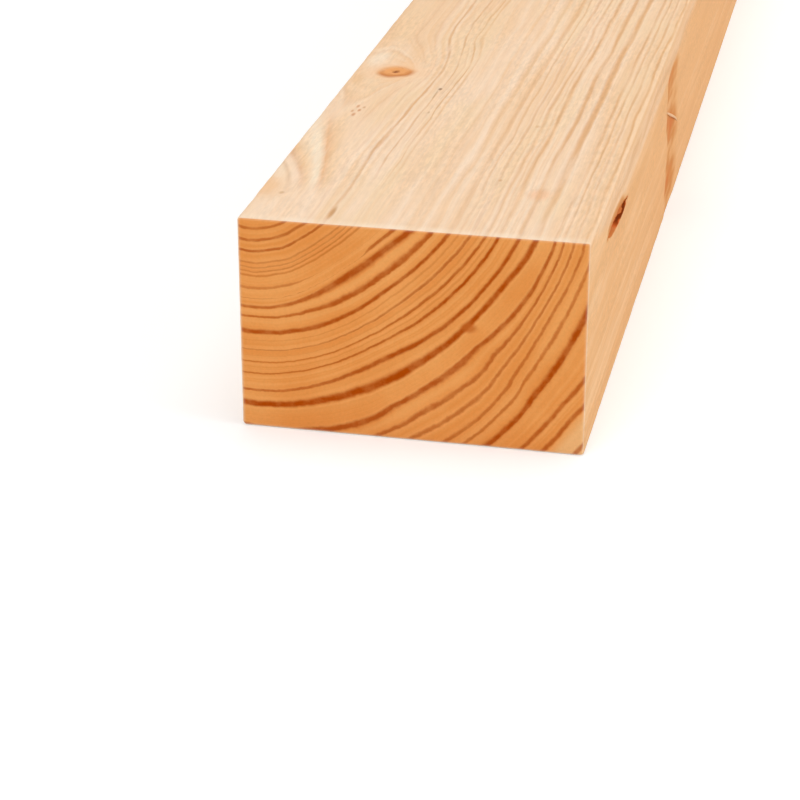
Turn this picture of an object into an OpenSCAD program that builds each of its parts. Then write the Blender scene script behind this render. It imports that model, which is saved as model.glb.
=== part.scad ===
// Planed softwood plank with square edges: one piece of sawn, planed and cross-cut stock.
// It lies on a wide face. X runs across the width, Y along the grain and Z up,
// and the origin is at the middle of the underside.

/* [Section] */
// Width across the wide face, in mm
plank_width = 70; // [40:1:150]
// Thickness between the two wide faces, in mm
plank_thickness = 45; // [24:1:100]
// Radius left on the four long edges by the planer, in mm
arris_radius = 0.8; // [0.2:0.1:3]

/* [Length] */
// Length between the two cross-cut ends, in mm
plank_length = 1800; // [600:100:4800]

/* [Resin pocket] */
// Length of the open pocket along the grain, in mm
pocket_length = 36; // [10:1:80]
// Opening of the pocket across the grain, in mm
pocket_opening = 2.6; // [1:0.1:6]
// Depth of the pocket at its middle, in mm
pocket_depth = 2.2; // [0.5:0.1:5]
// Distance from the near end to the middle of the pocket, in mm
pocket_from_end = 42; // [40:1:300]
// Distance from the upper wide face down to the middle of the pocket, in mm
pocket_from_top = 9.8; // [8:0.1:16]
// Dip of the pocket below the line of the grain, away from the near end, in degrees
pocket_dip = 4; // [0:0.5:6]

/* [Hidden] */
// Fragments on a full circle
$fn = 96;
// Extra reach of a cutting tool past the face it opens
overcut = 1;
near_end_y = -plank_length / 2;
right_edge_x = plank_width / 2;

// Radius of the arc that stands rise high on a chord
function arc_radius(chord, rise) = (chord * chord / 4 + rise * rise) / (2 * rise);

// Rectangle with true arcs at its corners, standing on the X axis
module eased_rectangle(width, height, radius) {
    translate([-width / 2, radius]) square([width, height - 2 * radius]);
    translate([-width / 2 + radius, 0]) square([width - 2 * radius, height]);
    for (side = [-1, 1], level = [radius, height - radius])
        translate([side * (width / 2 - radius), level]) circle(r = radius);
}

// Straight stock: the planed section carried along the whole length
module planed_bar() {
    translate([0, plank_length / 2, 0])
        rotate([90, 0, 0])
            linear_extrude(height = plank_length)
                eased_rectangle(plank_width, plank_thickness, arris_radius);
}

// Upper or lower wall of the pocket: a round bar along X, tangent to half the opening
module pocket_wall(side) {
    radius = arc_radius(pocket_length, pocket_opening / 2);
    translate([-pocket_depth - overcut, 0, side * (radius - pocket_opening / 2)])
        rotate([0, 90, 0])
            cylinder(r = radius, h = pocket_depth + 2 * overcut);
}

// Bottom of the pocket: a disc along Z that dips below the face by the pocket's depth
module pocket_floor() {
    radius = arc_radius(pocket_length, pocket_depth);
    translate([radius - pocket_depth, 0, -pocket_opening])
        cylinder(r = radius, h = 2 * pocket_opening);
}

// Boat-shaped hollow where three round cuts meet, with its mouth on the plane X = 0
module resin_pocket() {
    intersection() {
        pocket_wall(-1);
        pocket_wall(1);
        pocket_floor();
    }
}

module plank() {
    color("burlywood")
        difference() {
            planed_bar();
            translate([right_edge_x, near_end_y + pocket_from_end, plank_thickness - pocket_from_top])
                rotate([-pocket_dip, 0, 0])
                    resin_pocket();
        }
}

plank();
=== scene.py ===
import math

import bpy
import numpy as np
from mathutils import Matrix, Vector


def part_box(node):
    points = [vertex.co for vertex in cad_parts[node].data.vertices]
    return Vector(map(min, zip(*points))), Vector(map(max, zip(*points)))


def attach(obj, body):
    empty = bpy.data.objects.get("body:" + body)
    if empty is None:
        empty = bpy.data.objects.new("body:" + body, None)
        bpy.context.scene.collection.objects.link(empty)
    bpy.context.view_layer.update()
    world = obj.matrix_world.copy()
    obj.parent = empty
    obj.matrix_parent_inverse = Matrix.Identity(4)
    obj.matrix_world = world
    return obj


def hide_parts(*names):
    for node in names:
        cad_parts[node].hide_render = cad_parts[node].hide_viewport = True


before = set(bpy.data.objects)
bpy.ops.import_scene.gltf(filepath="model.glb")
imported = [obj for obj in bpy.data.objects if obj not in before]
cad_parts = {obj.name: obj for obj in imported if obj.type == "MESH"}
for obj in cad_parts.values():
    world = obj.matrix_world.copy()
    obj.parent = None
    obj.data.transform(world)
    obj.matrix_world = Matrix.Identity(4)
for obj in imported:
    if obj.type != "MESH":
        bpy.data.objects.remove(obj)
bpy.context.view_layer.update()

mm = 0.001
plankLow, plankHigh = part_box("plank")
plankWidth = (plankHigh.x - plankLow.x) / mm
plankLength = (plankHigh.y - plankLow.y) / mm
plankThickness = (plankHigh.z - plankLow.z) / mm
nearEnd = plankLow.y / mm
print("frame loaded, plank of", round(plankWidth), "x", round(plankThickness), "x", round(plankLength), "mm")

# All of the wood is worked out in millimetres: across from the middle of the width,
# along from the near end, and up from the underside. Sizes of noise are in the same order.
noiseShape = {"waves": 7, "pitch": 2.2, "height": 0.7}


def smoothStep(low, high, value):
    t = np.clip((value - low) / (high - low), 0, 1)
    return t * t * (3 - 2 * t)


def smoothCurve(value, places, heights):
    # a curve through a few points, without corners
    places = np.asarray(places, float)
    heights = np.asarray(heights, float)
    slopes = np.gradient(heights, places)
    k = np.clip(np.searchsorted(places, value) - 1, 0, len(places) - 2)
    span = places[k + 1] - places[k]
    t = np.clip((value - places[k]) / span, 0, 1)
    start = heights[k] * (1 + 2 * t) + slopes[k] * span * t
    end = heights[k + 1] * (3 - 2 * t) - slopes[k + 1] * span * (1 - t)
    return start * (1 - t) ** 2 + end * t ** 2


def softNoise(points, size, seed):
    # a smooth random field between about -1 and 1, made of a few slanted waves
    rng = np.random.default_rng(seed)
    total = np.zeros(len(points))
    for _ in range(noiseShape["waves"]):
        slant = rng.normal(size=3) / np.asarray(size, float)
        total += np.sin(points @ slant * noiseShape["pitch"] + rng.uniform(0, 2 * math.pi))
    return total / math.sqrt(noiseShape["waves"]) * noiseShape["height"]


def uneven(points, level, layers):
    # a level with soft noise on it, in layers of amount, size and seed
    for amount, size, seed in layers:
        level = level + amount * softNoise(points, size, seed)
    return level


# How the tree grew. The pith runs just outside the plank, above its upper left edge.
tree = {
    "pithAcross": -30.5,
    "pithUp": 54.5,
    "pithSway": (5.0, 1300.0),  # sideways sway of the pith and its wave length
    "pithDip": (-3.5, 1700.0),  # the same up and down
    # how far out a ring of each size stands, at angles from straight down towards the right
    "angles": (-25, 0, 20, 35, 50, 65, 80),
    "reach": [
        (15.0, (1.07, 1.015, 0.98, 0.96, 0.985, 1.05, 1.12)),
        (28.0, (1.00, 1.0, 0.966, 0.946, 0.972, 1.055, 1.23)),
        (30.5, (1.00, 1.0, 0.99, 1.01, 1.04, 1.12, 1.23)),
        (34.0, (1.00, 1.0, 0.994, 0.993, 1.012, 1.085, 1.19)),
        (46.0, (1.00, 1.0, 0.974, 0.97, 1.015, 1.07, 1.14)),
        (50.0, (1.00, 1.0, 0.995, 1.0, 1.015, 1.05, 1.13)),
        (54.2, (1.00, 1.01, 1.023, 1.0, 1.007, 1.058, 1.096)),
        (56.3, (1.02, 1.03, 1.054, 1.037, 1.043, 1.054, 1.084)),
        (60.4, (1.03, 1.05, 1.084, 1.09, 1.07, 1.05, 1.075)),
        (64.4, (1.03, 1.05, 1.08, 1.106, 1.09, 1.081, 1.085)),
        (70.0, (1.03, 1.05, 1.07, 1.09, 1.078, 1.089, 1.095)),
    ],
    "rounds": 20,  # rounds of the search for the ring that a point lies on
    # a jog in the outer rings: its angle, sharpness and width in degrees, the rings it starts over, its size
    "kink": {"angle": 51, "sharp": 2.5, "wide": 11, "from": (50, 56), "shift": 0.25},
    "waves": [(0.35, (9, 60, 9), 3)],  # slow wander of the grain, and where along it starts
    "wavesFrom": (4, 30),
    "tremble": [(0.07, (4, 26, 4), 4)],
    # past the second knot the grain leans left: where most, how far before and after, over which width
    "settle": {"along": 137, "before": 17, "after": 420, "across": (-18, 4), "shift": 1.9},
    # rings that are thinner on one side: from, to, share lost, and the angles over which they recover
    "thinRings": [
        (34.9, 43.4, 0.3, (34, 62)), (26.6, 31.4, 0.38, (4, 38)), (34.6, 47.2, 0.38, (4, 38)),
        (23.4, 24.9, 0.88, (32, 12)), (25.0, 26.6, 0.97, (50, 61)),
    ],
    "thinSoft": (0.3, 0.6),  # softness where they start and end
}

# Past a branch just outside the upper left edge the grain runs off over that edge
swirl = {
    "along": 25, "turn": 9, "length": 45,  # where it starts, how gently, and how far it goes on
    # how far in from the edge a line of it starts, and how steeply it then leans
    "lean": [(0, 0.6), (8.8, 0.5), (10.5, 0.27), (12.3, 0.2), (15, 0.08), (17.5, 0)],
    "halvings": 24,  # steps of the search for that start
}


def pithPlace(along):
    sway, swayLength = tree["pithSway"]
    dip, dipLength = tree["pithDip"]
    across = tree["pithAcross"] + sway * (1 - np.cos(2 * math.pi * along / swayLength)) / 2
    up = tree["pithUp"] + dip * (1 - np.cos(2 * math.pi * along / dipLength)) / 2
    return across, up


def swirlStart(points):
    # how far in from the upper left edge the grain at each point started, before it leaned over
    starts, leans = np.array(swirl["lean"], float).T
    inward = points[:, 0] + plankWidth / 2
    past = points[:, 1] - swirl["along"]
    run = np.clip((past + np.hypot(past, swirl["turn"])) / 2, 0, swirl["length"])
    low = inward
    high = inward + run * leans.max()
    for _ in range(swirl["halvings"]):
        middle = (low + high) / 2
        short = middle - run * np.interp(middle, starts, leans) < inward
        low = np.where(short, middle, low)
        high = np.where(short, high, middle)
    return high


def ringField(points):
    # distance from the pith, evened out so that each ring is one value of it, and how full the ring is
    pithAcross, pithUp = pithPlace(points[:, 1])
    right = points[:, 0] - pithAcross
    down = pithUp - points[:, 2]
    far = np.hypot(right, down)
    angle = np.degrees(np.arctan2(right, down))
    reach = np.stack([smoothCurve(angle, tree["angles"], row) for _, row in tree["reach"]])
    sizes = np.array([size for size, _ in tree["reach"]])
    ring = far.copy()
    for _ in range(tree["rounds"]):
        k = np.clip(np.searchsorted(sizes, ring) - 1, 0, len(sizes) - 2)
        t = np.clip((ring - sizes[k]) / (sizes[k + 1] - sizes[k]), 0, 1)
        inner = np.take_along_axis(reach, k[None], 0)[0]
        outer = np.take_along_axis(reach, k[None] + 1, 0)[0]
        ring = (ring + far / (inner + (outer - inner) * t)) / 2

    kink = tree["kink"]
    aside = angle - kink["angle"]
    jog = np.tanh(aside / kink["sharp"]) * np.exp(-(aside / kink["wide"]) ** 2)
    ring = ring + kink["shift"] * jog * smoothStep(*kink["from"], ring)
    ring = ring + uneven(points, 0.0, tree["waves"]) * smoothStep(*tree["wavesFrom"], points[:, 1])
    ring = uneven(points, ring, tree["tremble"])
    settle = tree["settle"]
    past = points[:, 1] - settle["along"]
    leaning = np.exp(-(past / np.where(past < 0, settle["before"], settle["after"])) ** 2)
    ring = ring + settle["shift"] * leaning * (1 - smoothStep(*settle["across"], points[:, 0]))

    depth = np.ones(len(points))
    startSoft, endSoft = tree["thinSoft"]
    for low, high, share, angles in tree["thinRings"]:
        within = smoothStep(low - startSoft, low + startSoft, ring)
        within = within * (1 - smoothStep(high, high + endSoft, ring))
        depth = depth * (1 - share * within * (1 - smoothStep(*angles, angle)))
    return ring, depth


# Branches. Each starts at the pith, leans along the grain by its rise and leaves a knot in a face it meets.
# The rings bulge round it, less and less over its spread.
knots = [
    {"along": 18, "angle": -47, "rise": 0.15, "radius": 3.6, "taper": 0.02, "bulge": 0.0, "spread": 4.2},
    {"along": 100, "angle": 27, "rise": 0.25, "radius": 3.4, "taper": 0.045, "bulge": 5.0, "spread": 6.0},
    {"along": 452, "angle": 9, "rise": 0.3, "radius": 3.2, "taper": 0.06, "bulge": 5.0, "spread": 7.0},
    {"along": 441, "angle": 61, "rise": 0.35, "radius": 3.4, "taper": 0.07, "bulge": 6.5, "spread": 8.0},
    {"along": 873, "angle": 38, "rise": 0.32, "radius": 3.0, "taper": 0.05, "bulge": 5.0, "spread": 7.0},
    {"along": 862, "angle": 84, "rise": 0.4, "radius": 4.0, "taper": 0.06, "bulge": 6.0, "spread": 8.0},
    {"along": 1118, "angle": 33, "rise": 0.2, "radius": 2.2, "taper": 0.02, "bulge": 3.2, "spread": 5.0},
    {"along": 1292, "angle": -14, "rise": 0.28, "radius": 3.6, "taper": 0.05, "bulge": 5.5, "spread": 7.0},
    {"along": 1301, "angle": 54, "rise": 0.33, "radius": 3.2, "taper": 0.06, "bulge": 6.0, "spread": 8.0},
    {"along": 1668, "angle": 22, "rise": 0.3, "radius": 3.4, "taper": 0.05, "bulge": 5.0, "spread": 7.0},
    {"along": 1654, "angle": 70, "rise": 0.35, "radius": 3.0, "taper": 0.05, "bulge": 5.5, "spread": 7.5},
]
knotShape = {
    "ragged": (0.09, (3.5, 4.5, 3.5)), "firstSeed": 20,
    "squeeze": (1, 0.84, 1),  # a knot is a little longer along the grain than across
    "bendSqueeze": (1, 0.55, 1),  # and the bend of the rings round it longer still
    "bendFrom": 0.6,  # share of its radius where that bend starts
    "bendGrows": (0, 5),  # distance from the pith over which it grows
    "sideLean": 0.35,  # its dark side is towards the near end and a little to the right
    "measured": 4,  # radii out to which it is measured
}


def growBranches(points, ring):
    # bends the rings round every branch, and measures how far from a knot's middle each point is, and where
    inKnot = np.full(len(points), np.inf)
    side = np.zeros(len(points))
    amount, size = knotShape["ragged"]
    for number, knot in enumerate(knots):
        pithAcross, pithUp = pithPlace(np.array([float(knot["along"])]))
        turn = math.radians(knot["angle"])
        way = np.array([math.sin(turn), knot["rise"], -math.cos(turn)])
        way /= np.linalg.norm(way)
        fromPith = points - np.array([pithAcross[0], knot["along"], pithUp[0]])
        out = fromPith @ way
        off = fromPith - np.clip(out, 0, None)[:, None] * way
        radius = knot["radius"] + knot["taper"] * np.clip(out, 0, None)
        ragged = uneven(points, 1.0, [(amount, size, knotShape["firstSeed"] + number)])
        share = np.linalg.norm(off * np.array(knotShape["squeeze"]), axis=1) / (radius * ragged)
        nearer = share < inKnot
        inKnot[nearer] = share[nearer]
        side[nearer] = ((-off[:, 1] + knotShape["sideLean"] * off[:, 0]) / radius)[nearer]
        stretched = np.linalg.norm(off * np.array(knotShape["bendSqueeze"]), axis=1)
        around = np.exp(-np.clip(stretched - knotShape["bendFrom"] * radius, 0, None) / knot["spread"])
        ring = ring - knot["bulge"] * around * smoothStep(*knotShape["bendGrows"], out)
    return ring, np.clip(inKnot, 0, knotShape["measured"]), side


# The plank's own shape: a box skinned with a fine grid, eased at its edges
plankShape = {
    "arris": 0.8,  # radius of the planed long edges
    "endArris": 0.4,  # radius where the saw cut meets the faces
    # unevenness of both, as a share
    "arrisWear": [(0.16, (30, 9, 30), 11), (0.1, (30, 2.6, 30), 12)],
    "endWear": [(0.2, (5, 30, 5), 13)],
    "arcTurns": (45, 30, 15),  # grid lines on an eased edge, by how many degrees it has turned there
    "acrossStep": 1.05,
    "upStep": 1.05,
    "finerAcross": [(-32, -19, 0.75)],  # over the knot near the end
    "finerUp": [(32.6, 38.0, 0.42)],  # over the resin pocket
    "rowStep": 24.0,
    "finerRows": [(0, 190, 1.45), (190, 240, 4.0)],
    # finer rows past those at each knot, from before it to past where its branch leaves the plank
    "knotRows": {"step": 3.4, "before": 14, "after": 16, "branchLength": 70},
    "lastRow": 1.0,  # shortest row at the far end
}


def arcPlaces(radius):
    return [radius * (1 - math.tan(math.radians(turn))) for turn in plankShape["arcTurns"]]


def gridLines(start, end, edge, step, finer):
    arc = arcPlaces(edge)
    stops = [start + edge] + [stop for low, high, _ in finer for stop in (low, high)] + [end - edge]
    lines = [start + a for a in arc]
    for low, high in zip(stops[:-1], stops[1:]):
        size = next((fine for a, b, fine in finer if a <= low and high <= b), step)
        count = max(1, math.ceil((high - low) / size))
        lines += [low + (high - low) * i / count for i in range(count)]
    return np.array(lines + [end - edge] + [end - a for a in reversed(arc)])


def rowPlaces():
    edge = plankShape["endArris"]
    knotRows = plankShape["knotRows"]
    spans = list(plankShape["finerRows"])
    fineEnd = spans[-1][1]
    for knot in knots:
        if knot["along"] > fineEnd:
            start = knot["along"] - knotRows["before"]
            leaves = knot["along"] + knotRows["branchLength"] * knot["rise"]
            spans.append((start, leaves + knotRows["after"], knotRows["step"]))
    arc = arcPlaces(edge)
    places = list(arc)
    here = edge
    while here < plankLength - edge - plankShape["lastRow"]:
        places.append(here)
        here += min([plankShape["rowStep"]] + [step for low, high, step in spans if low <= here < high])
    return np.array(places + [plankLength - edge] + [plankLength - a for a in reversed(arc)])


def boxSkin(acrossLines, alongLines, upLines):
    # points on the surface of a lattice, and the quads of its six sides
    shape = (len(acrossLines), len(alongLines), len(upLines))
    onSkin = np.zeros(shape, bool)
    onSkin[[0, -1]] = True
    onSkin[:, [0, -1]] = True
    onSkin[:, :, [0, -1]] = True
    number = np.cumsum(onSkin.ravel()).reshape(shape) - 1
    points = np.stack(np.meshgrid(acrossLines, alongLines, upLines, indexing="ij"), -1)[onSkin]
    sheets = {
        "left": (number[0], True), "right": (number[-1], False),
        "near": (number[:, 0], False), "far": (number[:, -1], True),
        "under": (number[:, :, 0], True), "upper": (number[:, :, -1], False),
    }
    sides = {}
    for side, (sheet, turned) in sheets.items():
        corners = [sheet[:-1, :-1], sheet[1:, :-1], sheet[1:, 1:], sheet[:-1, 1:]]
        quads = np.stack(corners, -1).reshape(-1, 4)
        sides[side] = quads[:, ::-1] if turned else quads
    return points, sides


def easeEdges(points):
    # pulls the box's edges in to arcs, a little uneven along their length, and gives the outward directions
    low = np.array([-plankWidth / 2, 0, 0])
    high = np.array([plankWidth / 2, plankLength, plankThickness])
    longEdge = plankShape["arris"] * uneven(points, 1.0, plankShape["arrisWear"])
    endEdge = plankShape["endArris"] * uneven(points, 1.0, plankShape["endWear"])
    radius = np.stack([longEdge, endEdge, longEdge], -1)
    inner = np.clip(points, low + radius, high - radius)
    out = (points - inner) / radius
    out /= np.linalg.norm(out, axis=1, keepdims=True)
    return inner + radius * out, out


# An open resin pocket on the right edge, the same size and place as in the solid
pocket = {
    "length": 36, "opening": 2.6, "depth": 2.2, "along": 42, "fromTop": 9.8, "dip": 4,
    "thinnest": 0.05,  # least half opening, at its tips
}


def pocketCut(points):
    # depth of the resin pocket below the right edge
    turn = math.radians(pocket["dip"])
    along = points[:, 1] - pocket["along"]
    up = points[:, 2] - (plankThickness - pocket["fromTop"])
    u = along * math.cos(turn) - up * math.sin(turn)
    v = along * math.sin(turn) + up * math.cos(turn)
    lens = np.clip(1 - (2 * u / pocket["length"]) ** 2, 0, None)
    half = pocket["opening"] / 2 * lens
    share = np.abs(v) / np.clip(half, pocket["thinnest"], None)
    return pocket["depth"] * lens * np.sqrt(np.clip(1 - share ** 2, 0, 1))


# A torn strip across the grain of the right edge
tornStrip = {
    # its near side, as (along, up) points, and how ragged that is
    "side": [(139, -1), (140, 4.6), (141.5, 17.2), (135.5, 28.0), (136, 36.9), (149, 40.5)],
    "ragged": [(1.3, (40, 14, 4), 31), (0.7, (40, 6, 1.6), 34)],
    "width": 27,
    "depth": 0.22,
    "upperEnd": (35.5, 39.5),  # heights over which it dies out
    # as shares of the width: the far side, and how softly the tear and its brown start, and end by that side
    "farSide": 0.75, "farWander": [(0.2, (40, 60, 6), 33)],
    "tear": ((-0.05, 0.05), (-0.5, 0.2)),
    "soak": ((-0.12, 0.1), (-0.4, 0.45)),
    "brown": 0.42,  # how brown it is, in patches
    "patches": 0.72, "patchNoise": [(0.4, (40, 17, 3.6), 32), (0.22, (40, 6, 1.5), 35)],
    "patchRange": (0.2, 1.2),
}


def acrossStrip(t, farSide, starts, ends):
    return smoothStep(*starts, t) * (1 - smoothStep(farSide + ends[0], farSide + ends[1], t))


def tornCut(points):
    # depth of the torn strip and how brown it is
    alongSide, upSide = np.array(tornStrip["side"], float).T
    start = np.interp(points[:, 2], upSide, alongSide)
    ragged = uneven(points, 0.0, tornStrip["ragged"])
    t = (points[:, 1] - start - ragged) / tornStrip["width"]
    farSide = uneven(points, tornStrip["farSide"], tornStrip["farWander"])
    below = 1 - smoothStep(*tornStrip["upperEnd"], points[:, 2])
    torn = acrossStrip(t, farSide, *tornStrip["tear"]) * below
    soaked = acrossStrip(t, farSide, *tornStrip["soak"]) * below
    patches = uneven(points, tornStrip["patches"], tornStrip["patchNoise"])
    brown = tornStrip["brown"] * soaked * np.clip(patches, *tornStrip["patchRange"])
    return tornStrip["depth"] * torn, brown


# The upper few millimetres of the right edge are nearly as pale as the face above them, and get less of the
# edge's painted warm light
paleTop = {
    "depth": 7.8, "starts": (-4, 44),  # how far down they reach, and where along they get there
    "loses": 3.2, "narrows": (115, 185),
    "wander": [(1.2, (300, 70, 300), 41)], "wanders": (150, 300),
    "soft": (-1.6, 0.8),  # softness of the lower side
}


def paleBand(points, out):
    along = points[:, 1]
    depth = paleTop["depth"] * smoothStep(*paleTop["starts"], along)
    depth = depth - paleTop["loses"] * smoothStep(*paleTop["narrows"], along)
    depth = depth + uneven(points, 0.0, paleTop["wander"]) * smoothStep(*paleTop["wanders"], along)
    lower = plankThickness - depth
    below, above = paleTop["soft"]
    return smoothStep(lower + below, lower + above, points[:, 2]) * (out[:, 0] > 0)


# A splinter lifted off the torn strip. Its root is in the wood, its middle stands off, its tip lies back.
splinter = {
    "root": (136, 28.6), "tip": (169, 15.2),  # as (along, up)
    "width": 0.75, "thickness": 0.5,
    "bow": 0.9,  # how far it bends upwards
    "sunk": 0.3, "lift": 0.504, "liftCurve": 0.8,  # depth of its root, and how it rises from there
    "taperCurve": (0.55, 0.8), "thinnest": 0.03,
    "stations": 15, "around": 8,
    # the splinter is given a little of the arrises' painted highlight
    "finish": {"growth": 66.5, "inKnot": 4.0, "edgeFace": 0.55, "paintedHighlight": 0.4, "bandStart": 30.0},
}


def splinterShape():
    # a thin closed sliver of oval section
    stations, around = splinter["stations"], splinter["around"]
    root = np.array(splinter["root"], float)
    run = np.array(splinter["tip"], float) - root
    t = np.linspace(0, 1, stations)
    middle = root + run * t[:, None]
    middle[:, 1] += splinter["bow"] * np.sin(math.pi * t) * t
    rise = splinter["lift"] * np.sin(math.pi * t ** splinter["liftCurve"]) - splinter["sunk"]
    across = np.array([-run[1], run[0]]) / np.linalg.norm(run)
    early, blunt = splinter["taperCurve"]
    taper = np.clip(np.sin(math.pi * t ** early), splinter["thinnest"], None) ** blunt
    turn = np.linspace(0, 2 * math.pi, around, endpoint=False)
    wide = splinter["width"] / 2 * taper[:, None] * np.cos(turn)
    thick = splinter["thickness"] / 2 * taper[:, None] * np.sin(turn)
    chip = np.empty((stations, around, 3))
    chip[..., 0] = plankWidth / 2 + rise[:, None] + thick
    chip[..., 1] = middle[:, :1] + wide * across[0]
    chip[..., 2] = middle[:, 1:] + wide * across[1]
    number = np.arange(stations * around).reshape(stations, around)
    ahead = np.roll(number, -1, axis=1)
    quads = np.stack([number[:-1], ahead[:-1], ahead[1:], number[1:]], -1).reshape(-1, 4)
    for end, order in ((0, 1), (-1, -1)):  # close both ends
        loop = number[end]
        pairs = range(around // 2 - 1)
        caps = [[loop[i], loop[around - 1 - i], loop[around - 2 - i], loop[i + 1]] for i in pairs]
        quads = np.concatenate([quads, np.array(caps)[:, ::order]])
    return chip.reshape(-1, 3), quads


# Room on the map that the finish is baked to, in pixels: left, bottom and pixels per mm.
# The near end and the first stretch of the upper face get the most, the far lengths the least.
bakeRoom = {
    "size": 1024, "gap": 4, "margin": 6,
    "near": (394, 566, 5.0), "far": (752, 566, 3.5), "upperNear": (394, 797, 3.05),
    "splinter": (752, 740, 3.0), "splinterStep": 0.5,
    # the long sides lie above each other in three lengths, split at these places along
    "splits": (200, 1000), "stack": ("upper", "right", "under", "left"),
    "scales": (1.9, 1.13, 1.13), "bottoms": (566, 6, 286),
}


def bakeCorners(flat, sides, rows):
    # each side is laid flat, the long ones in three lengths
    splits = [rows[np.argmin(np.abs(rows - split))] for split in bakeRoom["splits"]]
    starts = [0.0] + splits
    stack = bakeRoom["stack"]
    heights = {"upper": plankWidth, "under": plankWidth, "right": plankThickness, "left": plankThickness}
    corners = []
    for side, quads in sides.items():
        across, along, up = np.moveaxis(flat[quads], -1, 0)
        across = across + plankWidth / 2
        if side in ("near", "far"):
            left, bottom, scale = bakeRoom[side]
            u = across if side == "near" else plankWidth - across
            corners.append(np.stack([left + u * scale, bottom + up * scale], -1))
            continue
        v = {"upper": plankWidth - across, "under": across, "right": up, "left": plankThickness - up}[side]
        length = np.digitize(along.mean(axis=1), splits)
        laid = np.zeros(along.shape + (2,))
        for number, (scale, bottom) in enumerate(zip(bakeRoom["scales"], bakeRoom["bottoms"])):
            left = bakeRoom["margin"]
            for name in stack[:stack.index(side)]:
                bottom = bottom + heights[name] * scale + bakeRoom["gap"]
            if side == "upper" and number == 0:
                left, bottom, scale = bakeRoom["upperNear"]
            here = length == number
            laid[here, :, 0] = left + (along[here] - starts[number]) * scale
            laid[here, :, 1] = bottom + v[here] * scale
        corners.append(laid)
    return np.concatenate(corners) / bakeRoom["size"]


def splinterCorners(quads):
    stations, around = splinter["stations"], splinter["around"]
    left, bottom, scale = bakeRoom["splinter"]
    length = splinter["tip"][0] - splinter["root"][0]
    along = np.repeat(np.linspace(0, 1, stations) * length, around)
    girth = np.tile(np.arange(around) * bakeRoom["splinterStep"], stations)
    laid = np.stack([along, girth], -1)[quads]
    return (laid * scale + (left, bottom)) / bakeRoom["size"]


# How the skin is marked out, from the direction that each point looks in and from the knots
surface = {
    "rightSide": (0.6, 0.95),  # how squarely a point looks right to be on the right edge
    "upward": 0.5,  # how squarely it looks up to be on the upper face
    "highlightOver": 0.29,  # how far off square it is in the middle of an arris
    "paleShare": 0.55,  # how much of the edge's warmer tone, which is painted warm light, the pale band takes away
    "knotHeart": (0.35, 0.22),  # the hollow in a knot: depth, and size as a share of the knot's radius
    "knotRim": (0.07, 0.7, 0.3),  # the rim round it: height, place and width
    "noBands": 30.0,  # start of the grain where the swirl doesn't show
}


def carveWood(flat):
    # eases and hollows the skin, and works out what the finishes need to know at each point
    points, out = easeEdges(flat)
    ring, depth = ringField(points)
    ring, inKnot, knotSide = growBranches(points, ring)
    onRight = smoothStep(*surface["rightSide"], out[:, 0])
    tornDepth, brown = tornCut(points)
    heartDepth, heartSize = surface["knotHeart"]
    rimHeight, rimPlace, rimWidth = surface["knotRim"]
    heart = heartDepth * np.exp(-(inKnot / heartSize) ** 2)
    rim = rimHeight * np.exp(-((inKnot - rimPlace) / rimWidth) ** 2)
    sunk = onRight * (pocketCut(points) + tornDepth) + (heart - rim)
    offSquare = 1 - np.abs(out).max(axis=1)
    values = {
        "growth": ring, "ringDepth": depth, "inKnot": inKnot, "knotSide": knotSide,
        "stain": onRight * brown, "rightSide": onRight,
        # how squarely a point looks sideways, less in the pale band: it carries the narrow edges' painted
        # warm light
        "edgeFace": out[:, 0] ** 2 * (1 - surface["paleShare"] * paleBand(flat, out)),
        # the arrises are given a painted highlight, strongest in their middle
        "paintedHighlight": np.clip(offSquare / surface["highlightOver"], 0, 1),
        "bandStart": np.where(out[:, 2] > surface["upward"], swirlStart(flat), surface["noBands"]),
    }
    return points - out * sunk[:, None], values


def shapePlank():
    half = plankWidth / 2
    arris = plankShape["arris"]
    acrossLines = gridLines(-half, half, arris, plankShape["acrossStep"], plankShape["finerAcross"])
    upLines = gridLines(0, plankThickness, arris, plankShape["upStep"], plankShape["finerUp"])
    rows = rowPlaces()
    flat, sides = boxSkin(acrossLines, rows, upLines)
    points, values = carveWood(flat)
    quads = np.concatenate(list(sides.values()))
    slots = [np.full(len(faces), int(side in ("near", "far"))) for side, faces in sides.items()]

    chip, chipQuads = splinterShape()
    for name in values:
        values[name] = np.append(values[name], np.full(len(chip), splinter["finish"].get(name, 0.0)))
    quads = np.concatenate([quads, chipQuads + len(points)])
    slots = np.concatenate(slots + [np.zeros(len(chipQuads), int)])
    corners = np.concatenate([bakeCorners(flat, sides, rows), splinterCorners(chipQuads)])
    points = np.concatenate([points, chip])

    place = points + np.array([0, nearEnd, 0])
    mesh = bpy.data.meshes.new("timberPlank")
    mesh.from_pydata((place * mm).tolist(), [], quads.tolist())
    for name, numbers in values.items():
        layer = mesh.attributes.new(name, "FLOAT", "POINT")
        layer.data.foreach_set("value", numbers.astype(np.float32))
    mesh.polygons.foreach_set("use_smooth", np.ones(len(quads), bool))
    mesh.polygons.foreach_set("material_index", slots.astype(np.int32))
    mesh.uv_layers.new(name="OFBake").data.foreach_set("uv", corners.reshape(-1).astype(np.float32))
    mesh.update()
    plank = bpy.data.objects.new("timberPlank", mesh)
    bpy.context.scene.collection.objects.link(plank)
    print("plank shaped,", len(points), "points and", 2 * len(quads), "triangles")
    return plank


# Helpers for the finishes. Colours are written as they look, 0 to 255. A fade is written as the two values
# it runs between and, where it doesn't go from 0 to 1, what it goes from and to.
def linear(colour):
    channels = [c / 255 for c in colour]
    return tuple(c / 12.92 if c <= 0.04045 else ((c + 0.055) / 1.055) ** 2.4 for c in channels) + (1.0,)


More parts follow.
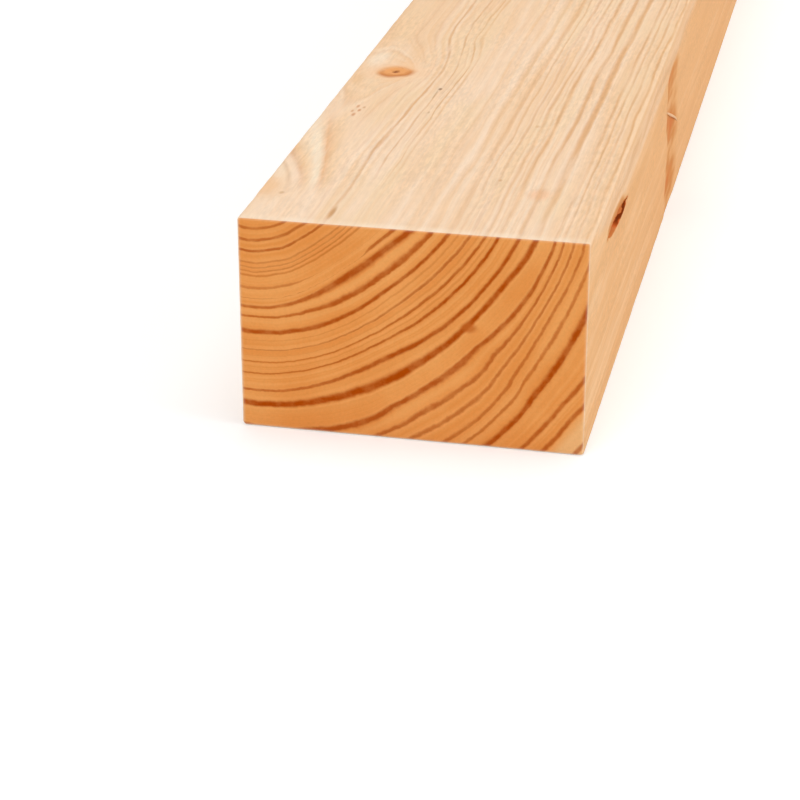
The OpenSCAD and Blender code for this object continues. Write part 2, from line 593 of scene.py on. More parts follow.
def addNode(nodes, kind, inputs=None, **settings):
    node = nodes.nodes.new("ShaderNode" + kind)
    for name, value in settings.items():
        setattr(node, name, value)
    for name, value in (inputs or {}).items():
        if isinstance(value, bpy.types.NodeSocket):
            nodes.links.new(value, node.inputs[name])
        else:
            node.inputs[name].default_value = value
    return node


def calc(nodes, operation, a, b=0.0):
    return addNode(nodes, "Math", {0: a, 1: b}, operation=operation).outputs[0]


def times(nodes, first, *others):
    for other in others:
        first = calc(nodes, "MULTIPLY", first, other)
    return first


def vectorCalc(nodes, operation, a, b=(0, 0, 0)):
    node = addNode(nodes, "VectorMath", {0: a, 1: b}, operation=operation)
    return node.outputs["Value" if operation in ("LENGTH", "DOT_PRODUCT") else "Vector"]


def fade(nodes, value, low, high, start=0.0, end=1.0):
    inputs = {"Value": value, "From Min": low, "From Max": high, "To Min": start, "To Max": end}
    return addNode(nodes, "MapRange", inputs, interpolation_type="SMOOTHSTEP").outputs[0]


def mixColour(nodes, amount, a, b, blend="MIX"):
    a, b = [linear(tone) if isinstance(tone, tuple) else tone for tone in (a, b)]
    return addNode(nodes, "Mix", {0: amount, 6: a, 7: b}, data_type="RGBA", blend_type=blend).outputs[2]


def layerValue(nodes, name):
    return addNode(nodes, "Attribute", attribute_name=name).outputs["Fac"]


def grainNoise(nodes, place, size, detail=2.0, roughness=0.5):
    # noise with one size, in mm, for each direction
    scaled = vectorCalc(nodes, "MULTIPLY", place, tuple(1 / s for s in size))
    inputs = {"Vector": scaled, "Scale": 1.0, "Detail": detail, "Roughness": roughness}
    return addNode(nodes, "TexNoise", inputs).outputs["Fac"]


def patchy(nodes, place, size, levels, detail=2.0, roughness=0.5):
    return fade(nodes, grainNoise(nodes, place, size, detail, roughness), *levels)


def unsteady(nodes, value, place, amount, size, detail=2.0):
    # a value that strays to both sides
    stray = calc(nodes, "SUBTRACT", grainNoise(nodes, place, size, detail), 0.5)
    return calc(nodes, "ADD", value, times(nodes, stray, amount))


def awayFrom(nodes, place, middle, halfSizes):
    # distance from the middle of a spot, 1 at its half sizes
    offset = vectorCalc(nodes, "SUBTRACT", place, middle)
    scaled = vectorCalc(nodes, "MULTIPLY", offset, tuple(1 / half for half in halfSizes))
    return vectorCalc(nodes, "LENGTH", scaled)


def lookUp(nodes, value, places, heights):
    # straight lines through a list of points
    node = addNode(nodes, "FloatCurve", {"Value": value})
    curve = node.mapping.curves[0]
    for _ in range(len(places) - 2):
        curve.points.new(0.5, 0.5)
    for point, x, y in zip(curve.points, places, heights):
        point.location = (x, y)
        point.handle_type = "VECTOR"
    node.mapping.update()
    return node.outputs[0]


def tonesAlong(nodes, value, tones, outermost=1.0):
    # a colour ramp from a list of positions and colours
    ramp = addNode(nodes, "ValToRGB", {"Fac": value})
    elements = ramp.color_ramp.elements
    for position, _ in tones[1:-1]:
        elements.new(position / outermost)
    for element, (position, tone) in zip(elements, tones):
        element.position = position / outermost
        element.color = linear(tone)
    return ramp.outputs[0]


planedFinish = {
    "early": (246, 218, 190), "warm": (238, 198, 156), "late": (211, 150, 88), "pale": (249, 228, 203),
    "lateAmount": 0.71, "oldWidth": 1.3, "youngWidth": 1.0,  # how strong and how wide the rings' lines are
    # how the lines wander, waver and feather: amount, size and detail
    "unrest": [(1.2, (5, 30, 5), 1.0), (0.35, (3.5, 16, 3.5), 1.0), (0.5, (0.9, 9, 0.9), 2.0)],
    "lineRise": (1.5, 0.7), "lineFall": (0.0, 0.6),  # how a line starts and ends, in shares of its width
    # lines come and go along a face
    "lineGaps": {"size": (2.2, 26, 2.2), "levels": (0.3, 0.58, 0.42, 1.0)},
    "broad": (7, 60, 7),
    "fibre": (0.45, 16, 0.45), "lateHeight": 0.006, "fibreHeight": 0.014,
    "roughness": (0.58, 0.72), "gloss": 0.05,
    # the planed faces alone: by the saw cut the lines are weaker, and fine rings only show further along
    "linesAlong": (4.0, 70.0, 0.6, 1.0), "fineFrom": (17.2, 17.8), "fineTo": (22.8, 22.2),
    "fineHidden": (44.0, 18.0), "fineLeft": (0.0, 1.0, 1.0, 0.2),
    "warmerAlong": (0.0, 170.0, 0.0, 0.35), "warmerOut": (36.0, 54.0, 0.0, 0.25),
    "straw": (240, 208, 168), "strawPatches": {"size": (6, 38, 6), "levels": (0.45, 0.7, 0.0, 0.6)},
    # small torn flecks, and where they are thickest
    "flecks": {"size": (0.7, 3.2, 0.7), "levels": (0.3, 0.7, -0.07, 0.045), "roughness": 0.6},
    "fleckAreas": {"size": (9, 40, 9), "levels": (0.4, 0.62, 0.35, 1.0), "detail": 1.0},
    # painted highlight in patches beside the saw cut, carrying on the one on the arris there
    "besideCut": (3.0, 0.3, 0.0, 0.6),
    "besidePatches": {"size": (4, 9, 4), "levels": (0.35, 0.65, 0.35, 1.0)},
}
sawnFinish = {
    "early": (240, 164, 92), "warm": (228, 140, 64), "late": (176, 72, 0), "pale": (240, 178, 108),
    "lateAmount": 1.0, "oldWidth": 1.3, "youngWidth": 1.3,
    "unrest": [(0.2, (5, 90, 5), 1.0), (0.15, (2.6, 40, 2.6), 1.0), (0.34, (1.3, 14, 1.3), 2.0)],
    "lineRise": (1.25, 0.7), "lineFall": (0.0, 0.42),
    # lines are broken a little by the saw
    "lineGaps": {"size": (3, 3, 3), "levels": (0.3, 0.6, 0.72, 1.0), "detail": 4.0, "roughness": 0.6},
    "broad": (16, 16, 16),
    "fibre": (0.6, 0.6, 0.6), "lateHeight": 0.006, "fibreHeight": 0.035,
    "roughness": (0.7, 0.85), "gloss": 0.02,
    # the sawn ends alone: pale outermost wood in one corner, and a bruise that breaks a ring of the near end
    "outer": (244, 194, 134), "outerFrom": (73.0, 75.2, 0.0, 0.72),
    "bruise": (192, 94, 28), "bruisePlace": (11.5, 25.4), "bruiseSize": (1.61, 3.33, 1.05),
    "bruiseFade": (1.4, 0.4, 0.0, 0.75),
}
# What both finishes share
woodFinish = {
    "youngUntil": 24,  # rings nearer the pith than this have the young width
    "lineOutside": 0.55,  # share of a line's width that lies outside its ring's own distance
    "widestLine": 0.6,  # the most of a ring that its line fills
    "paleEdge": (0.4, 0.0, 0.0, 0.2),  # paler wood just past a line
    "broadDetail": 3.0, "bandScale": 0.9, "bandDetail": 3.0,
    "broadShare": 0.55, "bandShare": 0.45, "warmth": (0.36, 0.64, 0.0, 0.7),
    "fibreDetail": (4.0, 0.6), "fibreShade": (0.25, 0.75, 0.955, 1.025),
    # the pale arrises are a painted highlight
    "paintedHighlight": 0.25,  # how pale the arrises are
    "lineShine": -0.35, "coarse": (0.1, 0.7),  # lines are smoother than the fibres between them
}

# Each ring's latewood: distance from the pith, darkness on a sawn end, width, and darkness on a planed face
rings = [
    (3.2, 0.3, 0.5, 0.2), (6.1, 0.3, 0.5, 0.2), (8.9, 0.35, 0.5, 0.25),
    (11.5, 0.68, 0.55, 0.3), (13.9, 0.72, 0.6, 0.35), (16.2, 0.8, 0.55, 1.0),
    (18.7, 0.45, 0.4, 0.8), (19.7, 0.4, 0.35, 0.25), (20.6, 0.45, 0.35, 0.8), (21.5, 0.4, 0.4, 0.4),
    (24.2, 0.5, 0.5, 0.3), (26.0, 0.8, 0.8, 0.1), (28.0, 0.94, 1.15, 0.25), (30.3, 0.88, 0.72, 0.3),
    (33.7, 0.95, 0.9, 0.7), (35.4, 0.2, 0.4, 0.5), (37.4, 0.75, 0.6, 0.7), (38.8, 0.12, 0.35, 0.2),
    (40.0, 0.85, 0.6, 0.8), (41.2, 0.12, 0.35, 0.2), (42.4, 1.0, 0.75, 1.0), (46.3, 0.95, 0.8, 1.0),
    (49.4, 1.0, 1.25, 1.0), (54.2, 0.9, 0.8, 0.9), (56.3, 0.75, 0.55, 0.9), (58.4, 0.65, 0.5, 0.8),
    (60.4, 0.65, 0.5, 0.9), (62.1, 0.6, 0.45, 0.8), (64.4, 1.0, 0.95, 0.9), (69.8, 0.8, 0.85, 0.8),
    (72.8, 0.8, 0.85, 0.8), (77.6, 0.8, 0.8, 0.7), (81.0, 0.6, 0.7, 0.7), (84.5, 0.6, 0.7, 0.7),
]
ringPlaces, sawnDarkness, ringWidths, planedDarkness = [list(column) for column in zip(*rings)]


def unevenRings(nodes, place, finish):
    ring = layerValue(nodes, "growth")
    for amount, size, detail in finish["unrest"]:
        ring = unsteady(nodes, ring, place, amount, size, detail)
    return ring


def perRing(nodes, middle, numbers):
    # one number for each ring, looked up at the ring's middle
    count = len(numbers)
    places = [0.0] + [(i + 0.5) / count for i in range(count)] + [1.0]
    return lookUp(nodes, middle, places, [numbers[0]] + numbers + [numbers[-1]])


def latewood(nodes, place, ring, finish, darkness):
    # how dark each point of a ring is: slow to start, darkest near the ring's outer edge, then gone
    count = len(rings)
    widths = []
    for far, width in zip(ringPlaces, ringWidths):
        widths.append(width * finish["youngWidth" if far < woodFinish["youngUntil"] else "oldWidth"])
    edges = [0.0] + [far + woodFinish["lineOutside"] * width for far, width in zip(ringPlaces, widths)]
    gaps = [outer - inner for inner, outer in zip(edges[:-1], edges[1:])]
    shares = [min(woodFinish["widestLine"], width / gap) for width, gap in zip(widths, gaps)]

    # the number of the ring, and how far through that ring the point is
    outermost = edges[-1]
    starts = [edge / outermost for edge in edges]
    steps = [i / count for i in range(count + 1)]
    number = times(nodes, lookUp(nodes, calc(nodes, "DIVIDE", ring, outermost), starts, steps), count)
    part = calc(nodes, "FRACT", number)
    middle = calc(nodes, "DIVIDE", calc(nodes, "ADD", calc(nodes, "FLOOR", number), 0.5), count)

    depth = layerValue(nodes, "ringDepth")
    dark = times(nodes, perRing(nodes, middle, darkness), calc(nodes, "SQRT", depth))
    lineWidth = times(nodes, perRing(nodes, middle, shares), depth)
    back = calc(nodes, "DIVIDE", calc(nodes, "SUBTRACT", 1.0, part), lineWidth)
    line = times(nodes, fade(nodes, back, *finish["lineRise"]), fade(nodes, back, *finish["lineFall"]), dark)
    line = times(nodes, line, patchy(nodes, place, **finish["lineGaps"]))
    paleEdge = times(nodes, fade(nodes, part, *woodFinish["paleEdge"]), dark)
    return line, paleEdge


def earlywood(nodes, place, ring, finish):
    # broad warm and pale areas, with faint bands inside the rings
    broad = grainNoise(nodes, place, finish["broad"], woodFinish["broadDetail"])
    inputs = {"W": ring, "Scale": woodFinish["bandScale"], "Detail": woodFinish["bandDetail"]}
    bands = addNode(nodes, "TexNoise", inputs, noise_dimensions="1D").outputs["Fac"]
    broadPart = times(nodes, broad, woodFinish["broadShare"])
    bandPart = times(nodes, bands, woodFinish["bandShare"])
    return broad, fade(nodes, calc(nodes, "ADD", broadPart, bandPart), *woodFinish["warmth"])


def shadeBy(nodes, colour, shade):
    threads = addNode(nodes, "CombineColor", {0: shade, 1: shade, 2: shade}).outputs[0]
    return mixColour(nodes, 1.0, colour, threads, "MULTIPLY")


def planedLines(nodes, line, ring, along):
    look = planedFinish
    fine = times(nodes, fade(nodes, ring, *look["fineFrom"]), fade(nodes, ring, *look["fineTo"]))
    notYet = times(nodes, fine, fade(nodes, along, *look["fineHidden"]))
    line = times(nodes, line, fade(nodes, along, *look["linesAlong"]))
    return times(nodes, line, fade(nodes, notYet, *look["fineLeft"]))


# Broad soft bands in the young wood along the left of the upper face
youngBands = {"spacing": 3.4, "crest": (-0.4, 1.0), "until": (15.5, 11.5, 0.0, 0.3), "from": (55.0, 85.0)}


def youngTone(nodes, ring, along):
    wave = calc(nodes, "SINE", times(nodes, ring, 2 * math.pi / youngBands["spacing"]))
    bands = times(nodes, fade(nodes, wave, *youngBands["crest"]), fade(nodes, ring, *youngBands["until"]))
    return times(nodes, bands, fade(nodes, along, *youngBands["from"]))


# The grain that runs off past the swirl, in bands by how far in from the edge they start
swirlFinish = {
    "tones": [
        (0.0, (240, 200, 156)), (2.6, (240, 202, 158)), (3.8, (247, 222, 194)), (5.6, (246, 220, 190)),
        (6.5, (222, 188, 154)), (7.2, (248, 220, 192)), (8.1, (247, 216, 188)), (8.9, (221, 172, 132)),
        (9.5, (237, 194, 147)), (10.4, (247, 229, 203)), (11.0, (247, 227, 199)), (11.8, (230, 176, 128)),
        (12.8, (239, 199, 155)), (14.0, (245, 212, 178)), (16.0, (245, 212, 178)),
    ],
    "unrest": (0.6, (1.2, 7, 1.2)),
    "from": (15.0, 28.0, 0.0, 0.8), "to": (82.0, 46.0), "inward": (16.0, 13.0),
    "streaks": {"size": (1.6, 22, 1.6), "levels": (0.3, 0.6, 0.6, 1.0)},
    "linesLeft": (0.0, 0.85, 1.0, 0.2),  # the rings' own lines give way to it
}


def swirlTones(nodes, place, along):
    look = swirlFinish
    started = unsteady(nodes, layerValue(nodes, "bandStart"), place, *look["unrest"])
    innermost = look["tones"][-1][0]
    tones = tonesAlong(nodes, calc(nodes, "DIVIDE", started, innermost), look["tones"], innermost)
    amount = times(nodes, fade(nodes, along, *look["from"]), fade(nodes, along, *look["to"]))
    amount = times(nodes, amount, fade(nodes, started, *look["inward"]))
    return tones, times(nodes, amount, patchy(nodes, place, **look["streaks"]))


# Small marks on the upper face: across, along, half width, half length, colour and strength
marks = [
    (-12.5, 91.0, 0.45, 0.9, (112, 78, 56), 0.8), (-12.8, 86.5, 0.22, 4.0, (186, 146, 108), 0.6),
    (-27.6, 68.6, 0.45, 1.3, (206, 138, 92), 0.7), (-27.0, 71.8, 0.4, 1.0, (206, 138, 92), 0.75),
    (-27.9, 74.6, 0.4, 1.2, (206, 138, 92), 0.65), (-26.4, 74.0, 0.35, 0.8, (206, 148, 104), 0.6),
    (-28.4, 71.0, 0.35, 0.9, (214, 150, 104), 0.6), (21.0, 25.0, 2.4, 3.6, (238, 184, 142), 0.6),
    (-30.0, 15.5, 0.6, 0.9, (200, 160, 118), 0.6), (-17.2, 6.2, 0.55, 3.6, (194, 138, 80), 0.75),
    (-11.6, 73.5, 0.3, 0.9, (190, 152, 112), 0.5), (11.8, 32.0, 0.4, 0.8, (196, 140, 90), 0.5),
    (13.6, 68.5, 0.5, 1.0, (214, 164, 116), 0.5), (-31.5, 112.0, 2.6, 9.0, (249, 230, 206), 0.6),
    (-34.4, 18.6, 2.8, 5.4, (236, 190, 142), 0.65),
    (-33.0, 95.0, 1.7, 4.5, (231, 186, 138), 0.55), (-20.5, 104.0, 1.5, 7.0, (249, 230, 206), 0.45),
]
markShape = {"fade": (1.4, 0.3), "halfDepth": 1.0}


def addMarks(nodes, colour, place):
    for across, along, halfWidth, halfLength, tone, strength in marks:
        middle = (across, nearEnd + along, plankThickness)
        away = awayFrom(nodes, place, middle, (halfWidth, halfLength, markShape["halfDepth"]))
        colour = mixColour(nodes, fade(nodes, away, *markShape["fade"], 0.0, strength), colour, tone)
    return colour


# Knots: a warm halo, a rim that is darker on one side and soft on the other, and a small dark heart
knotFinish = {
    "light": (232, 162, 98), "dark": (186, 104, 42), "heart": (124, 58, 18), "halo": (243, 198, 154),
    "mottle": ((1.6, 2.2, 1.6), 3.0),
    # ripples round a knot and the rings inside it: how close they are and how much the mottle bends them
    "ripples": (13.0, 12.0), "rippleCrest": (0.0, 1.0), "rippleUntil": (2.9, 1.3), "rippleAmount": 0.1,
    "rings": (9.0, 14.0), "ringCrest": (-0.3, 1.0, 0.0, 0.35),
    # by distance from its middle in radii, and by side: positive is the dark one
    "haloUntil": (2.3, 0.9, 0.0, 0.75), "haloPatches": (0.3, 0.6, 0.45, 1.0),
    "rim": (0.45, 0.9), "rimSide": (-0.3, 0.7, 0.1, 0.75),
    "softRim": (0.4, 1.0), "softSide": (0.3, -0.5, 0.0, 0.75),
    "heartUntil": (0.27, 0.1), "until": (1.25, 0.75),
}


def knotWave(nodes, inKnot, mottle, closeness, bend):
    bent = calc(nodes, "ADD", times(nodes, inKnot, closeness), times(nodes, mottle, bend))
    return calc(nodes, "SINE", bent)


def knotWood(nodes, colour, place, late, broad):
    look = knotFinish
    inKnot = layerValue(nodes, "inKnot")
    knotSide = layerValue(nodes, "knotSide")
    mottle = grainNoise(nodes, place, *look["mottle"])
    ripple = fade(nodes, knotWave(nodes, inKnot, mottle, *look["ripples"]), *look["rippleCrest"])
    ripple = times(nodes, ripple, fade(nodes, inKnot, *look["rippleUntil"]), look["rippleAmount"])
    colour = mixColour(nodes, ripple, colour, late)
    halo = times(nodes, fade(nodes, inKnot, *look["haloUntil"]), fade(nodes, broad, *look["haloPatches"]))
    colour = mixColour(nodes, halo, colour, look["halo"])

    ringLine = fade(nodes, knotWave(nodes, inKnot, mottle, *look["rings"]), *look["ringCrest"])
    rim = times(nodes, fade(nodes, inKnot, *look["rim"]), fade(nodes, knotSide, *look["rimSide"]))
    softRim = times(nodes, fade(nodes, inKnot, *look["softRim"]), fade(nodes, knotSide, *look["softSide"]))
    knot = mixColour(nodes, calc(nodes, "MAXIMUM", ringLine, rim), look["light"], look["dark"])
    knot = mixColour(nodes, softRim, knot, look["halo"])
    knot = mixColour(nodes, fade(nodes, inKnot, *look["heartUntil"]), knot, look["heart"])
    return mixColour(nodes, fade(nodes, inKnot, *look["until"]), colour, knot)


# Resin in the pocket and brown torn wood, with painted shade deep in the pocket, from faint to strong
stainAndShadeFinish = {
    "tones": [
        (0.0, (238, 182, 122)), (0.3, (214, 142, 76)), (0.55, (214, 102, 38)),
        (0.75, (146, 60, 12)), (1.0, (74, 26, 2)),
    ],
    "shows": (0.03, 0.24),
    "dull": (0.3, 0.7, 0.0, 0.95),  # old resin has lost its shine
}
# The resin: a dark slit by the pocket's lower lip, partly resin and partly painted shade in the pocket,
# orange in the rest of it and on the wood above
resinAndShadeFinish = {
    "unrest": (0.7, (2, 5, 0.9)), "thinnest": 0.15,
    # in shares of half the opening
    "lowerLip": (-1.5, -1.1), "upperLip": (1.2, 0.8), "tips": (0.0, 0.15), "slit": (-0.86, -0.96),
    # in mm along the pocket from its middle, and above its upper lip
    "slitFrom": (-7.0, 5.0), "aboveFrom": (-20.0, -13.0), "aboveTo": (17.0, 3.0),
    "above": (3.4, 0.0, 0.0, 0.4), "overLip": (-1.6, -0.4),
    "strength": (0.0, 1.0, 0.42, 0.84),  # orange, and dark in the slit with painted shade
}


def resinAndPocketShade(nodes, place):
    look = resinAndShadeFinish
    turn = math.radians(pocket["dip"])
    middle = (0, nearEnd + pocket["along"], plankThickness - pocket["fromTop"])
    offset = vectorCalc(nodes, "SUBTRACT", place, middle)
    u = vectorCalc(nodes, "DOT_PRODUCT", offset, (0, math.cos(turn), -math.sin(turn)))
    v = vectorCalc(nodes, "DOT_PRODUCT", offset, (0, math.sin(turn), math.cos(turn)))
    v = unsteady(nodes, v, place, *look["unrest"])
    scaled = calc(nodes, "DIVIDE", u, pocket["length"] / 2)
    lens = calc(nodes, "MAXIMUM", calc(nodes, "SUBTRACT", 1.0, times(nodes, scaled, scaled)), 0.0)
    half = times(nodes, lens, pocket["opening"] / 2)
    level = calc(nodes, "DIVIDE", v, calc(nodes, "MAXIMUM", half, look["thinnest"]))
    inMouth = times(nodes, fade(nodes, level, *look["lowerLip"]), fade(nodes, level, *look["upperLip"]))
    inMouth = times(nodes, inMouth, fade(nodes, lens, *look["tips"]))
    slit = times(nodes, fade(nodes, level, *look["slit"]), fade(nodes, u, *look["slitFrom"]))
    inside = times(nodes, inMouth, fade(nodes, slit, *look["strength"]))
    height = calc(nodes, "SUBTRACT", v, half)
    above = times(nodes, fade(nodes, height, *look["above"]), fade(nodes, height, *look["overLip"]))
    reach = times(nodes, fade(nodes, u, *look["aboveFrom"]), fade(nodes, u, *look["aboveTo"]))
    resinAndShade = calc(nodes, "MAXIMUM", inside, times(nodes, above, reach))
    return times(nodes, resinAndShade, layerValue(nodes, "rightSide"))


def newWood(name):
    material = bpy.data.materials.new(name)
    material.use_nodes = True
    nodes = material.node_tree
    where = addNode(nodes, "TexCoord").outputs["Object"]
    place = addNode(nodes, "VectorMath", {0: where, "Scale": 1 / mm}, operation="SCALE").outputs[0]
    along = calc(nodes, "SUBTRACT", addNode(nodes, "SeparateXYZ", {0: place}).outputs["Y"], nearEnd)
    return material, nodes, place, along


def finishWood(nodes, finish, colour, line, fibre, dull=0.0):
    # latewood is smoother and stands a little proud, and the fibres can be felt
    shader = nodes.nodes["Principled BSDF"]
    nodes.links.new(colour, shader.inputs["Base Color"])
    shader.inputs["Specular IOR Level"].default_value = finish["gloss"]
    coarse = calc(nodes, "ADD", fibre, times(nodes, line, woodFinish["lineShine"]))
    roughness = fade(nodes, coarse, *woodFinish["coarse"], *finish["roughness"])
    nodes.links.new(calc(nodes, "MAXIMUM", roughness, dull), shader.inputs["Roughness"])
    proud = times(nodes, line, finish["lateHeight"])
    height = calc(nodes, "ADD", proud, times(nodes, fibre, finish["fibreHeight"]))
    bump = addNode(nodes, "Bump", {"Height": height, "Distance": mm, "Strength": 1.0})
    nodes.links.new(bump.outputs[0], shader.inputs["Normal"])


# The two narrow edges are warmer and calmer than the faces: their warmer tones are painted warm light
edgeLightAndGrain = {
    "early": (248, 206, 158), "warm": (233, 174, 115), "late": (214, 150, 90),
    "warmth": (0.0, 1.0, 0.22, 0.8), "linesLeft": (0.0, 1.0, 1.0, 0.25),
}


def makePlanedWood():
    look = planedFinish
    material, nodes, place, along = newWood("planedWood")
    ring = unevenRings(nodes, place, look)
    line, paleEdge = latewood(nodes, place, ring, look, planedDarkness)
    line = planedLines(nodes, line, ring, along)

    # earlywood, with the young bands, the swirl and the marks
    broad, warmth = earlywood(nodes, place, ring, look)
    warmth = calc(nodes, "ADD", warmth, fade(nodes, along, *look["warmerAlong"]))
    warmth = calc(nodes, "ADD", warmth, fade(nodes, ring, *look["warmerOut"]))
    colour = mixColour(nodes, warmth, look["early"], look["warm"])
    colour = mixColour(nodes, patchy(nodes, place, **look["strawPatches"]), colour, look["straw"])
    colour = mixColour(nodes, paleEdge, colour, look["pale"])
    colour = mixColour(nodes, youngTone(nodes, ring, along), colour, look["warm"])
    tones, atSwirl = swirlTones(nodes, place, along)
    colour = mixColour(nodes, atSwirl, colour, tones)
    line = times(nodes, line, fade(nodes, atSwirl, *swirlFinish["linesLeft"]))
    colour = addMarks(nodes, colour, place)

    # the narrow edges with their painted warm light, then the lines on all of it
    edgeFace = layerValue(nodes, "edgeFace")
    edgeLightWarmth = fade(nodes, warmth, *edgeLightAndGrain["warmth"])
    edgeLitColour = mixColour(nodes, edgeLightWarmth, edgeLightAndGrain["early"], edgeLightAndGrain["warm"])
    colour = mixColour(nodes, edgeFace, colour, edgeLitColour)
    late = mixColour(nodes, edgeFace, look["late"], edgeLightAndGrain["late"])
    line = times(nodes, line, fade(nodes, edgeFace, *edgeLightAndGrain["linesLeft"]))
    colour = mixColour(nodes, times(nodes, line, look["lateAmount"]), colour, late)

    # long fibres, torn flecks, and a painted highlight on the arrises and in patches beside the saw cut
    fibre = grainNoise(nodes, place, look["fibre"], *woodFinish["fibreDetail"])
    flecks = patchy(nodes, place, **look["flecks"])
    flecks = times(nodes, flecks, patchy(nodes, place, **look["fleckAreas"]))
    shade = times(nodes, fade(nodes, fibre, *woodFinish["fibreShade"]), calc(nodes, "ADD", flecks, 1.0))
    colour = shadeBy(nodes, colour, shade)
    paintedHighlight = times(nodes, layerValue(nodes, "paintedHighlight"), woodFinish["paintedHighlight"])
    beside = fade(nodes, along, *look["besideCut"])
    beside = times(nodes, beside, patchy(nodes, place, **look["besidePatches"]))
    beside = times(nodes, beside, calc(nodes, "SUBTRACT", 1.0, edgeFace))
    colour = mixColour(nodes, calc(nodes, "MAXIMUM", paintedHighlight, beside), colour, look["pale"])

    colour = knotWood(nodes, colour, place, late, broad)
    # resin in and above the pocket, with painted shade in its slit
    resinAndShade = resinAndPocketShade(nodes, place)
    stain = calc(nodes, "MAXIMUM", layerValue(nodes, "stain"), resinAndShade)
    stained = fade(nodes, stain, *stainAndShadeFinish["shows"])
    colour = mixColour(nodes, stained, colour, tonesAlong(nodes, stain, stainAndShadeFinish["tones"]))
    finishWood(nodes, look, colour, line, fibre, fade(nodes, resinAndShade, *stainAndShadeFinish["dull"]))
    return material


def makeSawnEnd():
    look = sawnFinish
    material, nodes, place, _ = newWood("sawnEnd")
    ring = unevenRings(nodes, place, look)
    line, paleEdge = latewood(nodes, place, ring, look, sawnDarkness)
    broad, warmth = earlywood(nodes, place, ring, look)
    colour = mixColour(nodes, warmth, look["early"], look["warm"])
    colour = mixColour(nodes, fade(nodes, ring, *look["outerFrom"]), colour, look["outer"])
    colour = mixColour(nodes, paleEdge, colour, look["pale"])
    colour = mixColour(nodes, times(nodes, line, look["lateAmount"]), colour, look["late"])
    fibre = grainNoise(nodes, place, look["fibre"], *woodFinish["fibreDetail"])
    colour = shadeBy(nodes, colour, fade(nodes, fibre, *woodFinish["fibreShade"]))
    # the saw cut's arrises get the same painted highlight
    paintedHighlight = times(nodes, layerValue(nodes, "paintedHighlight"), woodFinish["paintedHighlight"])
    colour = mixColour(nodes, paintedHighlight, colour, planedFinish["pale"])
    bruiseAcross, bruiseUp = look["bruisePlace"]
    away = awayFrom(nodes, place, (bruiseAcross, nearEnd, bruiseUp), look["bruiseSize"])
    colour = mixColour(nodes, fade(nodes, away, *look["bruiseFade"]), colour, look["bruise"])
    colour = knotWood(nodes, colour, place, look["late"], broad)
    finishWood(nodes, look, colour, line, fibre)
    return material


plank = shapePlank()
plank.data.materials.append(makePlanedWood())
plank.data.materials.append(makeSawnEnd())
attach(plank, "root")
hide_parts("plank")
print("plank finished")

# Studio, in metres: a pale floor that reads as white, soft light from all round and four lamps
studio = {
    "floorSize": 40, "floorDrop": 0.0001, "floorColour": (0.8, 0.8, 0.8, 1), "floorRoughness": 0.9,
    # the floor's glow: where it changes, its strength near the plank and far off, and its shape on the floor
    "glow": (0.6, 2.1, 0.32, 0.7), "glowShape": (1, 0.6, 0),
    "white": (1, 1, 1, 1), "worldLight": 0.45,
    # name, place, aim, size and power
    "lamps": [
        ("overhead", (0.2, -0.5, 2.6), (0.0, -0.3, 0.0), 2.4, 25),
        ("front", (-0.6, -3.0, 1.1), (0.0, -0.9, 0.02), 1.6, 19.5),
        ("rightSide", (2.6, -0.9, 1.2), (0.0, -0.4, 0.02), 1.8, 28),
        ("behind", (-0.5, 3.2, 1.1), (0.0, 0.9, 0.02), 1.8, 15),
    ],
}


def seenDirectly(nodes):
    # 1 for what the camera sees itself, in a gloss or through something clear
    path = addNode(nodes, "LightPath").outputs
    seen = calc(nodes, "ADD", path["Is Camera Ray"], path["Is Glossy Ray"])
    return calc(nodes, "MINIMUM", calc(nodes, "ADD", seen, path["Is Transmission Ray"]), 1.0)


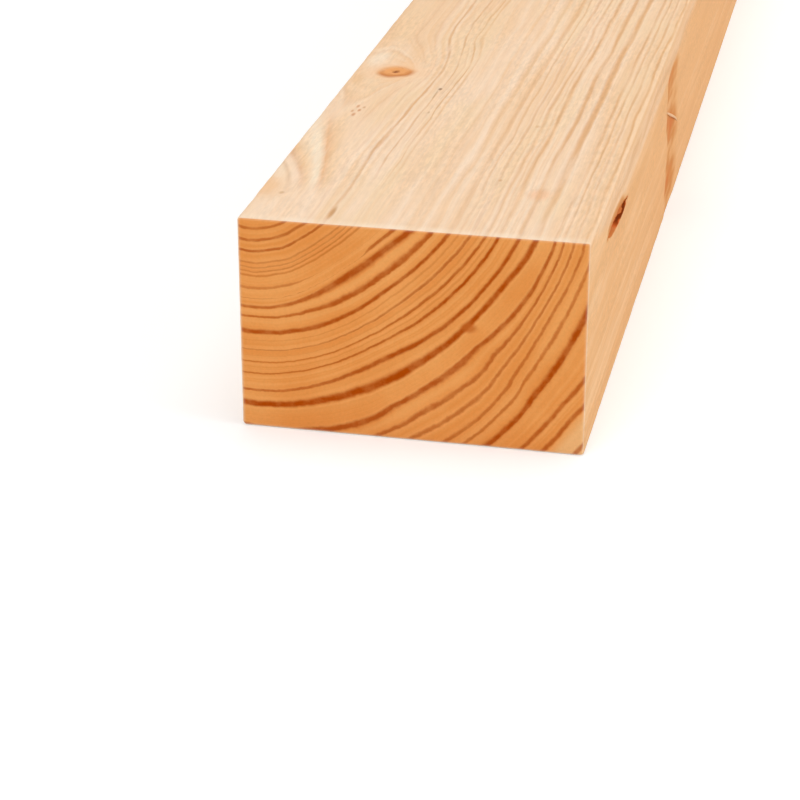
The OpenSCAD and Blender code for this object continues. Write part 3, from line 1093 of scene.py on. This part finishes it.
def makeFloor():
    half = studio["floorSize"] / 2
    level = plankLow.z - studio["floorDrop"]
    corners = [(-half, -half, level), (half, -half, level), (half, half, level), (-half, half, level)]
    mesh = bpy.data.meshes.new("floor")
    mesh.from_pydata(corners, [], [(0, 1, 2, 3)])
    floor = bpy.data.objects.new("floor", mesh)
    bpy.context.scene.collection.objects.link(floor)
    material = bpy.data.materials.new("paleFloor")
    material.use_nodes = True
    nodes = material.node_tree
    shader = nodes.nodes["Principled BSDF"]
    shader.inputs["Base Color"].default_value = studio["floorColour"]
    shader.inputs["Roughness"].default_value = studio["floorRoughness"]
    shader.inputs["Specular IOR Level"].default_value = 0.0
    # seen straight from the camera the floor is lifted to white, and its shadows stay
    where = addNode(nodes, "TexCoord").outputs["Object"]
    away = vectorCalc(nodes, "LENGTH", vectorCalc(nodes, "MULTIPLY", where, studio["glowShape"]))
    glow = times(nodes, seenDirectly(nodes), fade(nodes, away, *studio["glow"]))
    shader.inputs["Emission Color"].default_value = studio["white"]
    nodes.links.new(glow, shader.inputs["Emission Strength"])
    mesh.materials.append(material)


def makeWorld():
    world = bpy.data.worlds.new("studio")
    world.use_nodes = True
    nodes = world.node_tree
    background = nodes.nodes["Background"]
    strength = fade(nodes, seenDirectly(nodes), 0.0, 1.0, studio["worldLight"], 1.0)
    nodes.links.new(strength, background.inputs["Strength"])
    background.inputs["Color"].default_value = studio["white"]
    bpy.context.scene.world = world


def makeLamp(name, place, aim, size, power):
    light = bpy.data.lights.new(name, "AREA")
    light.shape = "DISK"
    light.size = size
    light.energy = power
    lamp = bpy.data.objects.new(name, light)
    lamp.location = place
    lamp.rotation_euler = (Vector(aim) - Vector(place)).to_track_quat("-Z", "Y").to_euler()
    bpy.context.scene.collection.objects.link(lamp)


makeFloor()
makeWorld()
for lamp in studio["lamps"]:
    makeLamp(*lamp)
print("studio lit")

# Camera at the photograph's angle: place in mm, turn about the vertical, tilt down, lens and sensor
view = {
    "place": (90.1, -1327.1, 207.5), "turn": 12.2, "tilt": 24.47,
    "lens": 108.2, "sensor": 36, "clipStart": 0.01,  # the last in metres
}
lens = bpy.data.cameras.new("camera")
lens.lens = view["lens"]
lens.sensor_width = view["sensor"]
lens.clip_start = view["clipStart"]
camera = bpy.data.objects.new("camera", lens)
camera.location = Vector(view["place"]) * mm
camera.rotation_euler = (math.radians(90 - view["tilt"]), 0, math.radians(view["turn"]))
bpy.context.scene.collection.objects.link(camera)
bpy.context.scene.camera = camera
bpy.context.scene.view_settings.view_transform = "Standard"

bpy.context.view_layer.update()
